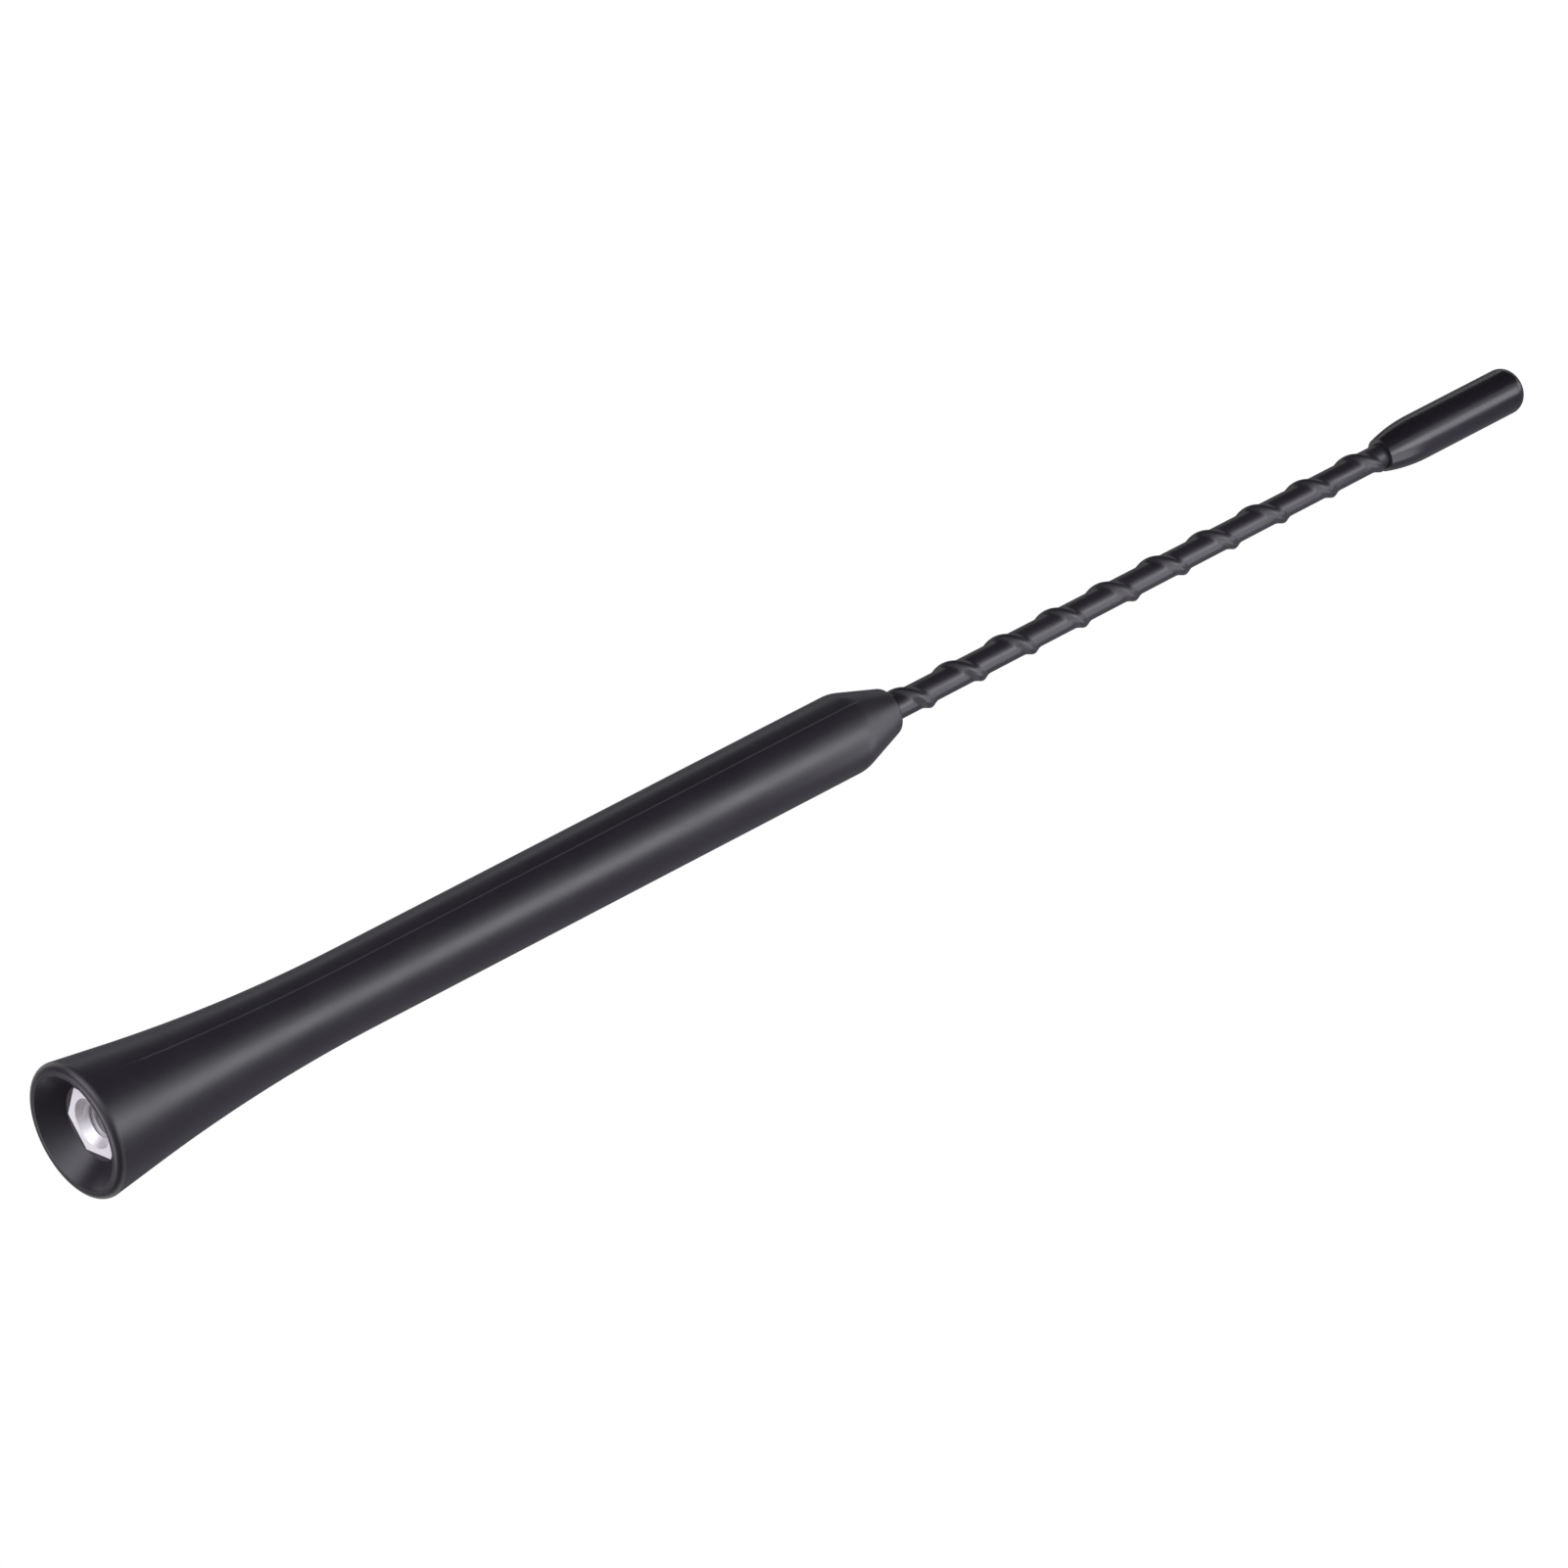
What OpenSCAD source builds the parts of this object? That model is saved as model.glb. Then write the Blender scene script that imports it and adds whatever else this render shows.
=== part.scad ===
// Car mast aerial: a moulded grip that screws onto the car at its foot, a whip with a helical ridge
// and a cap on the tip. The ridge is the aerial's own wire, wound on a fibreglass rod under the jacket.
// The mast stands upright. +Z runs to its tip, and the origin is the centre of the grip's open mouth.

/* [Mast] */
// Length of the whole mast, from the rim of the mouth to the end of the cap
mast_len = 280; // [265:1:310]

/* [Grip] */
// Length of the moulded grip
grip_len = 151.3; // [140:0.1:160]
// Diameter of the straight part of the grip
grip_d = 12.4; // [11.2:0.1:14]
// Diameter of the flared mouth, measured at its rim before the edge is rounded
mouth_d = 20.9; // [18.5:0.1:24]
// Height at which the flare has run out into the straight part
flare_len = 50.4; // [38:0.1:65]
// Height of the straight cone at the foot of the flare
cone_len = 9.3; // [5:0.1:15]
// Width of the rim between the recess and the outside, before its edges are rounded
rim_w = 1.8; // [1.7:0.1:2.4]
// Radius on the outer edge of the rim
rim_round = 1.2; // [0.4:0.1:1.2]
// Radius on the inner edge of the rim
rim_inner_round = 0.3; // [0.2:0.1:0.5]
// Depth of the recess, from the rim to the face of the threaded socket
recess_depth = 3.4; // [2:0.1:5]
// Width of the flat ring between the socket's corners and the wall of the recess
floor_w = 0.15; // [0.1:0.05:0.6]
// Length of the tapered shoulder at the top of the grip
shoulder_len = 8.4; // [6:0.1:12]
// Radius where the shoulder leaves the straight part
shoulder_round = 7; // [2:0.5:9]
// Width of the flat ring on the nose of the grip, round the whip's ridge
nose_w = 0.25; // [0.15:0.05:0.6]
// Radius on the edge of the nose
nose_round = 1; // [0.3:0.1:1.2]

/* [Threaded socket] */
// Width across the flats of the socket's hexagon
hex_af = 9.6; // [9:0.1:11]
// Height of the hexagon
hex_h = 7; // [5:0.1:9]
// Nominal diameter of the socket's thread
thread_d = 6; // [5:0.5:6]
// Pitch of the socket's thread
thread_pitch = 1; // [0.8:0.05:1]
// Depth of the threaded hole below the socket's face
thread_depth = 13; // [9:0.1:15]
// Diameter of the countersink at the mouth of the threaded hole
countersink_d = 7.6; // [6.5:0.1:8.4]
// Diameter of the neck above the hexagon, which the grip is moulded into
neck_d = 7.4; // [6.6:0.1:8]
// Length of the neck
neck_len = 2; // [1:0.1:4]
// Diameter over the knurl
knurl_d = 9; // [8.4:0.1:10]
// Length of the knurl
knurl_len = 8; // [5:0.1:10]
// Depth of the knurl's grooves
knurl_depth = 0.4; // [0.2:0.05:0.6]
// Number of teeth round the knurl
knurl_teeth = 24; // [16:1:32]
// Diameter of the tail that is crimped onto the rod
tail_d = 5.8; // [5.4:0.1:7]
// Length of the tail
tail_len = 12; // [10:0.1:16]
// Depth of the two crimped grooves round the tail
crimp_depth = 0.3; // [0.1:0.05:0.4]
// Width of each crimped groove
crimp_w = 1.6; // [1:0.1:2.4]
// Depth of the hole in the tail that takes the rod
rod_hole_depth = 11; // [8:0.1:13]

/* [Rod and wire] */
// Diameter of the fibreglass rod inside the grip
rod_d = 2.6; // [2.3:0.05:2.8]
// Diameter of the rod at its top, under the cap
rod_tip_d = 2.3; // [2:0.05:2.5]
// Diameter of the copper wire
wire_d = 0.55; // [0.4:0.05:0.6]
// Length of the wire's straight end inside the tail
wire_tail = 7; // [4:0.1:8]
// Height of the loading coil above the socket
coil_rise = 8; // [4:0.1:20]
// Number of close turns in the loading coil
coil_turns = 24; // [10:1:40]
// Gap between neighbouring turns of the loading coil
coil_gap = 0.05; // [0.04:0.01:0.2]
// Wall of the shrunk sleeve over the loading coil
sleeve_wall = 0.5; // [0.3:0.05:0.8]

/* [Whip] */
// Diameter of the jacket where it leaves the grip, beside the ridge
whip_d = 4.05; // [3.9:0.01:4.6]
// Diameter of the jacket where it enters the cap, beside the ridge
whip_tip_d = 3.72; // [3.5:0.01:4]
// Height of the ridge above the jacket
ridge_h = 0.5; // [0.35:0.05:0.7]
// Half of the angle that the ridge takes up in a cross section
ridge_half_angle = 60; // [45:1:75]
// Rise of the ridge in one turn
ridge_pitch = 10.24; // [8:0.01:14]
// Height above the grip at which the ridge first faces +X
ridge_rise = 7.04; // [0:0.01:14]
// Length of the jacket inside the grip
grip_seat = 5; // [3:0.1:10]
// Length of the jacket inside the cap
cap_seat = 7; // [4:0.1:14]

/* [Cap] */
// Length of the cap
cap_len = 28.4; // [22:0.1:40]
// Largest diameter of the cap
cap_d = 7.2; // [6.4:0.1:9]
// Width of the cap's rim outside the whip's ridge
cap_rim_w = 0.25; // [0.15:0.05:0.5]
// Length over which the cap swells from its rim
cap_swell_len = 7.6; // [4:0.1:12]
// Radius on the closed end of the cap
cap_round = 2.3; // [0.8:0.1:2.8]

/* [Fits] */
// Gap all round between a moulded piece and what it is moulded on
mould_gap = 0.03; // [0.01:0.01:0.05]
// Gap between the wire and the rod, and between the wire and what covers it
wire_gap = 0.03; // [0.02:0.01:0.05]

/* [Hidden] */
$fn = 96;

// Colours
rubber_black = "#2b2a2e";
gloss_black = "#232226";
nickel = "#d9d4cf";
fibreglass = "#d8cf9e";
copper = "#b5673a";
sleeve_black = "#1b1b1d";

// Points along each arc, slices in each turn of the ridge and coil, and sides of the wire
arc_steps = 6;
flare_steps = 10;
turn_steps = 11;
coil_steps = 10;
wire_sides = 5;
back_steps = 8;
// Share of a slice below which a cut end takes the place of a slice
end_share = 0.1;
// Length by which a cutting solid passes the face that it cuts
over = 1;

// Heights up the mast
hex_top_z = recess_depth + hex_h;
knurl_z = hex_top_z + neck_len;
tail_z = knurl_z + knurl_len;
socket_top_z = tail_z + tail_len;
rod_foot_z = socket_top_z - rod_hole_depth;
coil_z = socket_top_z + coil_rise;
coil_pitch = wire_d + coil_gap;
coil_top_z = coil_z + coil_turns * coil_pitch;
jacket_foot_z = grip_len - grip_seat;
cap_z = mast_len - cap_len;
jacket_top_z = cap_z + cap_seat;
ridge_z = grip_len + ridge_rise;
ridge_step = ridge_pitch / turn_steps;

// Radii
mouth_r = mouth_d / 2;
grip_r = grip_d / 2;
hex_corner_d = hex_af / cos(30);
thread_core_r = (thread_d - thread_pitch) / 2;
wire_r = wire_d / 2;
flare_k = (mouth_r - grip_r) / (flare_len ^ 2 - cone_len ^ 2);
// A turn drawn with straight chords cuts inside its own circle by these factors
coil_chord = cos(180 / coil_steps);
ring_gap = max((360 - 2 * ridge_half_angle) / back_steps, (1 + end_share) * 360 / turn_steps);
ring_chord = cos(ring_gap / 2);
sleeve_bore_r = wire_lay_r(0) + wire_r + wire_gap;
sleeve_r = sleeve_bore_r + sleeve_wall;
// Angle at which the wire comes up out of the socket
lead_angle = ridge_angle(coil_top_z) - 360 * coil_turns;

// Angles round the whip at which its cross section has a point, counted from the ridge's crest
ring_angles = concat(
  [for (share = [-1, -0.56, -0.28, 0, 0.28, 0.56]) share * ridge_half_angle],
  [for (i = [0 : back_steps - 1]) ridge_half_angle + i * (360 - 2 * ridge_half_angle) / back_steps]
);

function unit(v) = v / norm(v);
function mix(a, b, t) = a + (b - a) * t;
function polar(r, a, z) = [r * cos(a), r * sin(a), z];

// Length that a fillet of radius r takes from each side of the corner b of the path a, b, c
function fillet_reach(a, b, c, r) = r / tan(acos(unit(a - b) * unit(c - b)) / 2);

// Points of a fillet of radius r on the corner b of the path a, b, c
function fillet(a, b, c, r) =
  let (
    to_a = unit(a - b),
    to_c = unit(c - b),
    centre = b + unit(to_a + to_c) * r / sin(acos(to_a * to_c) / 2),
    reach = fillet_reach(a, b, c, r),
    first = b + to_a * reach - centre,
    last = b + to_c * reach - centre
  )
  [for (i = [0 : arc_steps]) centre + r * unit(mix(first, last, i / arc_steps))];

// Angle of the ridge's crest at height z
function ridge_angle(z) = 360 * (z - ridge_z) / ridge_pitch;

// Radius of the jacket at height z, beside the ridge
function whip_r(z) = mix(whip_d, whip_tip_d, (z - grip_len) / (cap_z - grip_len)) / 2;

// Radius of the rod at height z: straight in the grip, then tapered
function rod_r(z) = mix(rod_d, rod_tip_d, max(0, z - grip_len) / (jacket_top_z - grip_len)) / 2;

// Radius of the wire's centre line at height z, so that its chords clear the rod
function wire_lay_r(z) = (rod_r(z) + wire_r + wire_gap) / coil_chord;

// Share of the ridge's height at angle a from its crest
function swell(a) = abs(a) < ridge_half_angle ? (1 + cos(180 * a / ridge_half_angle)) / 2 : 0;

// Cross section of the jacket's outside at height z, grown by a gap
function outer_ring(z, gap) =
  [for (a = ring_angles) polar(whip_r(z) + ridge_h * swell(a) + gap, ridge_angle(z) + a, z)];

// Cross section of the jacket's bore at height z: the rod, and a groove for the wire under the ridge
function bore_ring(z) =
  let (
    plain_r = (rod_r(z) + mould_gap) / ring_chord,
    groove_r = wire_lay_r(z) + wire_r + wire_gap
  )
  [for (a = ring_angles) polar(mix(plain_r, groove_r, swell(a)), ridge_angle(z) + a, z)];

// Heights of the slices between low and high, with one at each end
function slice_heights(low, high) =
  let (
    first = ceil((low - ridge_z) / ridge_step + end_share),
    last = floor((high - ridge_z) / ridge_step - end_share)
  )
  [low, for (k = [first : last]) ridge_z + k * ridge_step, high];

// Triangles between ring a and ring b of a stack of rings with n points each
function band(n, a, b) =
  [for (i = [0 : n - 1]) let (j = (i + 1) % n) each [
    [a * n + i, b * n + i, a * n + j],
    [a * n + j, b * n + i, b * n + j]
  ]];

// The same triangles facing the other way
function flipped(faces) = [for (f = faces) [f[2], f[1], f[0]]];

// Centre line of the wire: up out of the socket, round the loading coil, then on under the ridge
wire_path =
  let (
    lay_r = wire_lay_r(0),
    heights = slice_heights(coil_top_z, jacket_top_z - wire_d)
  )
  concat(
    [for (z = [socket_top_z - wire_tail, coil_z - coil_pitch]) polar(lay_r, lead_angle, z)],
    [for (i = [0 : coil_turns * coil_steps - 1])
      polar(lay_r, lead_angle + 360 * i / coil_steps, coil_z + i * coil_pitch / coil_steps)],
    [for (z = heights) polar(wire_lay_r(z), ridge_angle(z), z)]
  );

// Ring of points round point k of a path, square to the path there
function wire_ring(path, k) =
  let (
    point = path[k],
    along = unit(path[min(k + 1, len(path) - 1)] - path[max(k - 1, 0)]),
    side = unit(cross(along, [point.x, point.y, 0])),
    out = cross(side, along)
  )
  [for (i = [0 : wire_sides - 1]) let (a = 360 * i / wire_sides) point + wire_r * (cos(a) * out + sin(a) * side)];

// Solid tube along a path
module tube_along(path) {
  n = wire_sides;
  last = len(path) - 1;
  polyhedron(
    points = [for (k = [0 : last]) each wire_ring(path, k)],
    faces = concat(
      [[for (i = [n - 1 : -1 : 0]) i]],
      [for (k = [0 : last - 1]) each band(n, k + 1, k)],
      [[for (i = [0 : n - 1]) last * n + i]]
    )
  );
}

// Solid with the whip's ridged outside between two heights, grown by a gap
module ridged_solid(low, high, gap) {
  heights = slice_heights(low, high);
  n = len(ring_angles);
  last = len(heights) - 1;
  polyhedron(
    points = [for (z = heights) each outer_ring(z, gap)],
    faces = concat(
      [[for (i = [0 : n - 1]) i]],
      [for (k = [0 : last - 1]) each band(n, k, k + 1)],
      [[for (i = [n - 1 : -1 : 0]) last * n + i]]
    )
  );
}

// The socket's hexagon, grown by a gap
module socket_hex(gap) {
  translate([0, 0, recess_depth])
    cylinder(d = hex_corner_d + 2 * gap / cos(30), h = hex_h, $fn = 6);
}

// The socket's neck and tail, with the two crimped grooves, grown by a gap
module socket_stem(gap) {
  neck_r = neck_d / 2 + gap;
  tail_r = tail_d / 2 + gap;
  crimp_span = tail_len / 3;
  grooves = [
    for (i = [1, 2]) let (z = tail_z + i * crimp_span) each [
      [tail_r, z - crimp_w / 2],
      [tail_r - crimp_depth, z - crimp_w / 4],
      [tail_r - crimp_depth, z + crimp_w / 4],
      [tail_r, z + crimp_w / 2]
    ]
  ];
  rotate_extrude()
    polygon(concat(
      [[0, hex_top_z], [neck_r, hex_top_z], [neck_r, knurl_z], [tail_r, knurl_z]],
      grooves,
      [[tail_r, socket_top_z], [0, socket_top_z]]
    ));
}

// The knurl as a ring of pointed teeth
module knurl() {
  tooth = 360 / knurl_teeth;
  top_r = knurl_d / 2;
  translate([0, 0, knurl_z])
    linear_extrude(knurl_len)
      polygon([for (i = [0 : knurl_teeth - 1]) each [
        [top_r * cos(i * tooth), top_r * sin(i * tooth)],
        [(top_r - knurl_depth) * cos((i + 0.5) * tooth), (top_r - knurl_depth) * sin((i + 0.5) * tooth)]
      ]]);
}

// Moulded grip: flared round the mouth, straight, then tapered to a nose round the whip
module grip() {
  rim_out = [mouth_r, 0];
  rim_in = [mouth_r - rim_w, 0];
  floor_edge = [hex_corner_d / 2 + floor_w, recess_depth];
  cone_top = [grip_r + flare_k * (flare_len - cone_len) ^ 2, cone_len];
  cone_foot = [cone_top.x + 2 * flare_k * (flare_len - cone_len) * cone_len, 0];
  shoulder = [grip_r, grip_len - shoulder_len];
  nose_flat = [whip_d / 2 + ridge_h + mould_gap + nose_w, grip_len];
  // The nose's corner lies out from its flat ring by what the fillet takes
  nose_reach = fillet_reach(shoulder, nose_flat, [0, grip_len], nose_round);
  nose = nose_flat + [nose_reach, 0];
  flare = [
    for (i = [1 : flare_steps])
      let (z = mix(cone_len, flare_len, i / flare_steps))
      [grip_r + flare_k * (flare_len - z) ^ 2, z]
  ];
  color(rubber_black)
    difference() {
      rotate_extrude()
        polygon(concat(
          [[0, recess_depth], floor_edge],
          fillet(floor_edge, rim_in, rim_out, rim_inner_round),
          fillet(rim_in, cone_foot, cone_top, rim_round),
          [cone_top],
          flare,
          fillet([grip_r, flare_len], shoulder, nose, shoulder_round),
          fillet(shoulder, nose, nose_flat, nose_round),
          [[0, grip_len]]
        ));
      translate([0, 0, -over])
        socket_hex(mould_gap);
      socket_hex(mould_gap);
      socket_stem(mould_gap);
      translate([0, 0, knurl_z])
        cylinder(d = knurl_d + 2 * mould_gap, h = knurl_len);
      translate([0, 0, socket_top_z - over])
        cylinder(r = sleeve_r + mould_gap, h = jacket_foot_z - socket_top_z + over);
      ridged_solid(jacket_foot_z, grip_len + over, mould_gap);
    }
}

// Plated socket: a hexagon with a blind thread, a neck and knurl in the grip, and a tail on the rod
module thread_socket() {
  lay_r = wire_lay_r(0);
  sink_r = countersink_d / 2;
  sink_depth = sink_r - thread_core_r;
  color(nickel)
    difference() {
      union() {
        socket_hex(0);
        socket_stem(0);
        knurl();
      }
      translate([0, 0, recess_depth - over])
        cylinder(r = thread_core_r, h = thread_depth + over);
      translate([0, 0, recess_depth])
        cylinder(r1 = sink_r, r2 = thread_core_r, h = sink_depth);
      translate([0, 0, rod_foot_z])
        cylinder(d = rod_d + 2 * mould_gap, h = rod_hole_depth + over);
      rotate(lead_angle)
        translate([lay_r, 0, socket_top_z - wire_tail])
          cylinder(r = wire_r + wire_gap, h = wire_tail + over);
    }
}

// Fibreglass rod: straight in the grip, tapered in the whip
module core_rod() {
  color(fibreglass) {
    translate([0, 0, rod_foot_z])
      cylinder(d = rod_d, h = grip_len - rod_foot_z);
    translate([0, 0, grip_len])
      cylinder(d1 = rod_d, d2 = rod_tip_d, h = jacket_top_z - grip_len);
  }
}

// Copper wire: its end in the socket, the loading coil, and the open winding up to the cap
module aerial_wire() {
  color(copper)
    tube_along(wire_path);
}

// Shrunk sleeve over the loading coil, from the socket up to the jacket
module coil_sleeve() {
  color(sleeve_black)
    translate([0, 0, socket_top_z])
      difference() {
        cylinder(r = sleeve_r, h = jacket_foot_z - socket_top_z);
        translate([0, 0, -over])
          cylinder(r = sleeve_bore_r, h = jacket_foot_z - socket_top_z + 2 * over);
      }
}

// Jacket of the whip: one skin outside, with the ridge, and one inside, with the wire's groove
module whip_jacket() {
  heights = slice_heights(jacket_foot_z, jacket_top_z);
  n = len(ring_angles);
  count = len(heights);
  last = count - 1;
  color(rubber_black)
    polyhedron(
      points = concat(
        [for (z = heights) each outer_ring(z, 0)],
        [for (z = heights) each bore_ring(z)]
      ),
      faces = concat(
        [for (k = [0 : last - 1]) each band(n, k, k + 1)],
        [for (k = [0 : last - 1]) each flipped(band(n, count + k, count + k + 1))],
        band(n, count, 0),
        band(n, last, count + last)
      )
    );
}

// Closed cap: swelling from a thin rim to its full width, with a blind seat for the whip's end
module tip_cap() {
  rim_r = whip_r(cap_z) + ridge_h + cap_rim_w;
  cap_r = cap_d / 2;
  swell_k = (cap_r - rim_r) / cap_swell_len ^ 2;
  end_edge = [cap_r, mast_len];
  swelling = [
    for (i = [0 : flare_steps])
      let (z = cap_swell_len * i / flare_steps)
      [cap_r - swell_k * (cap_swell_len - z) ^ 2, cap_z + z]
  ];
  color(gloss_black)
    difference() {
      rotate_extrude()
        polygon(concat(
          [[0, cap_z]],
          swelling,
          fillet([cap_r, cap_z + cap_swell_len], end_edge, [0, mast_len], cap_round),
          [[0, mast_len]]
        ));
      ridged_solid(cap_z - over, jacket_top_z, mould_gap);
    }
}

grip();
thread_socket();
core_rod();
aerial_wire();
coil_sleeve();
whip_jacket();
tip_cap();
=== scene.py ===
"""Dresses the car mast aerial: its moulded grip, plated socket, ridged whip and tip cap.

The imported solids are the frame. Pieces that show are modelled again here with rounder edges, a cut
thread and a finer ridge, in the same place and at the same size, and each gets the finish of the real
material. The mast stands on its mouth, and the camera looks up at it from below, as in the photograph.
Sizes are in millimetres unless a name says otherwise, and heights count from the mouth.
"""

from __future__ import annotations

import logging
import math
from dataclasses import dataclass
from enum import Enum

import bpy
from mathutils import Matrix, Vector

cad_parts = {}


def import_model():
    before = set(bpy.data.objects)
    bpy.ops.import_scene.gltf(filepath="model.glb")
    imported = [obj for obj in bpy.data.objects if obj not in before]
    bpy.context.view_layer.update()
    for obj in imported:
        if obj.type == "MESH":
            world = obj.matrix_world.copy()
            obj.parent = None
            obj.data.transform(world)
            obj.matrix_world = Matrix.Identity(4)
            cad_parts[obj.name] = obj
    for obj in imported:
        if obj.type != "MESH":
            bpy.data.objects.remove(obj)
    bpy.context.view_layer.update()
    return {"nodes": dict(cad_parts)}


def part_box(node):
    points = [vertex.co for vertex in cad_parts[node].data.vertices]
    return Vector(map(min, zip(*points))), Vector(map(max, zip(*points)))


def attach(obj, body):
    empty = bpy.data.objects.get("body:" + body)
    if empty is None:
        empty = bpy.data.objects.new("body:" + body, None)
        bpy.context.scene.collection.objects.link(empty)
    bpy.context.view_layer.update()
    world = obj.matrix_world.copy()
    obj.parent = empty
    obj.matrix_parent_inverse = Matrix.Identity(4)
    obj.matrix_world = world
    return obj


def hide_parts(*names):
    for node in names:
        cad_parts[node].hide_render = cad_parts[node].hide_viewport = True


LOG = logging.getLogger("mast_aerial")
MM = 0.001
FULL_TURN = 2 * math.pi
BODY = "root"
# Distance within which points are one point
WELD = 0.0005 * MM
# Edges sharper than this stay sharp in the shading
SHARP_EDGE = math.radians(32)
# Distance from a plane within which a point is on it
ON_PLANE = 10 * WELD
# Length by which a cutting piece passes the face that it cuts, in millimetres
OVER = 1.0
# Numbers of a colour mix's sockets, which share their names with those of its other kinds
MIX_A, MIX_B, MIX_RESULT = 6, 7, 2
# Values that a noise texture mostly stays between
NOISE_LOW, NOISE_HIGH = 0.3, 0.7
# Angle that a wave texture's wave runs through in one unit of its coordinates, in radians
WAVE_TURN = 20.0

Point = tuple[float, float]


class Slot(Enum):
    """Names of the record's material slots. No piece here takes its finish from them."""

    GRIP = "grip_rubber"
    SOCKET = "socket_nickel"
    WHIP = "whip_plastic"
    CAP = "cap_plastic"


def linear(hex_code: str) -> tuple[float, float, float, float]:
    """Turns an sRGB hex code into a linear colour.

    Args:
        hex_code: six hex digits after a hash.

    Returns:
        Linear red, green and blue, and an alpha of 1.
    """

    def channel(value: float) -> float:
        """Linear value of one sRGB channel."""
        return value / 12.92 if value <= 0.04045 else ((value + 0.055) / 1.055) ** 2.4

    red, green, blue = (channel(int(hex_code[i : i + 2], 16) / 255) for i in (1, 3, 5))
    return (red, green, blue, 1.0)


def add_node(
    tree: bpy.types.NodeTree, kind: str, inputs: dict[str | int, object] | None = None, **settings: object
) -> bpy.types.Node:
    """Adds one node, sets its properties, and fills or links its inputs.

    Args:
        tree: node tree that gets the node.
        kind: Blender's name of the node type.
        inputs: value, or socket to link from, for each input by name or number.
        settings: properties of the node.

    Returns:
        The new node.
    """
    node = tree.nodes.new(kind)
    for name, value in settings.items():
        setattr(node, name, value)
    for name, value in (inputs or {}).items():
        if isinstance(value, bpy.types.NodeSocket):
            tree.links.new(value, node.inputs[name])
        else:
            node.inputs[name].default_value = value
    return node


def new_material(name: str) -> tuple[bpy.types.Material, bpy.types.NodeTree]:
    """Makes an empty node material.

    Args:
        name: name of the finish.

    Returns:
        The material and its cleared node tree.
    """
    material = bpy.data.materials.new(name)
    material.use_nodes = True
    material.node_tree.nodes.clear()
    return material, material.node_tree


def per_metre(size_mm: float) -> float:
    """Texture scale whose pattern repeats about once in a length given in millimetres."""
    return 1 / (size_mm * MM)


@dataclass(frozen=True)
class MouldedPlastic:
    """Black plastic as it leaves a mould or is shrunk on: a satin skin over a fine grain.

    The grain breaks up the highlight a little, and faint flow marks change its gloss along the piece.
    """

    name: str
    shade: str
    worn_shade: str
    roughness: float
    roughness_spread: float
    grain_mm: float
    grain_height_mm: float
    flow_mm: float = 9.0
    ior: float = 1.5

    def build(self) -> bpy.types.Material:
        """Makes the material.

        Returns:
            The material, with its flow marks and its grain.
        """
        material, tree = new_material(self.name)
        place = add_node(tree, "ShaderNodeTexCoord").outputs["Object"]
        flow = add_node(
            tree,
            "ShaderNodeTexNoise",
            {"Vector": place, "Scale": per_metre(self.flow_mm), "Detail": 3.0, "Roughness": 0.55},
        ).outputs["Fac"]
        grain = add_node(
            tree,
            "ShaderNodeTexNoise",
            {"Vector": place, "Scale": per_metre(self.grain_mm), "Detail": 2.0, "Roughness": 0.6},
        ).outputs["Fac"]
        shade = add_node(
            tree,
            "ShaderNodeMix",
            {"Factor": flow, MIX_A: linear(self.shade), MIX_B: linear(self.worn_shade)},
            data_type="RGBA",
        ).outputs[MIX_RESULT]
        gloss = add_node(
            tree,
            "ShaderNodeMapRange",
            {
                "Value": flow,
                "From Min": NOISE_LOW,
                "From Max": NOISE_HIGH,
                "To Min": self.roughness - self.roughness_spread,
                "To Max": self.roughness + self.roughness_spread,
            },
        ).outputs["Result"]
        bump = add_node(
            tree,
            "ShaderNodeBump",
            {"Height": grain, "Strength": 1.0, "Distance": self.grain_height_mm * MM},
        ).outputs["Normal"]
        skin = add_node(
            tree,
            "ShaderNodeBsdfPrincipled",
            {"Base Color": shade, "Roughness": gloss, "IOR": self.ior, "Normal": bump},
        )
        add_node(tree, "ShaderNodeOutputMaterial", {"Surface": skin.outputs["BSDF"]})
        return material


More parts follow.
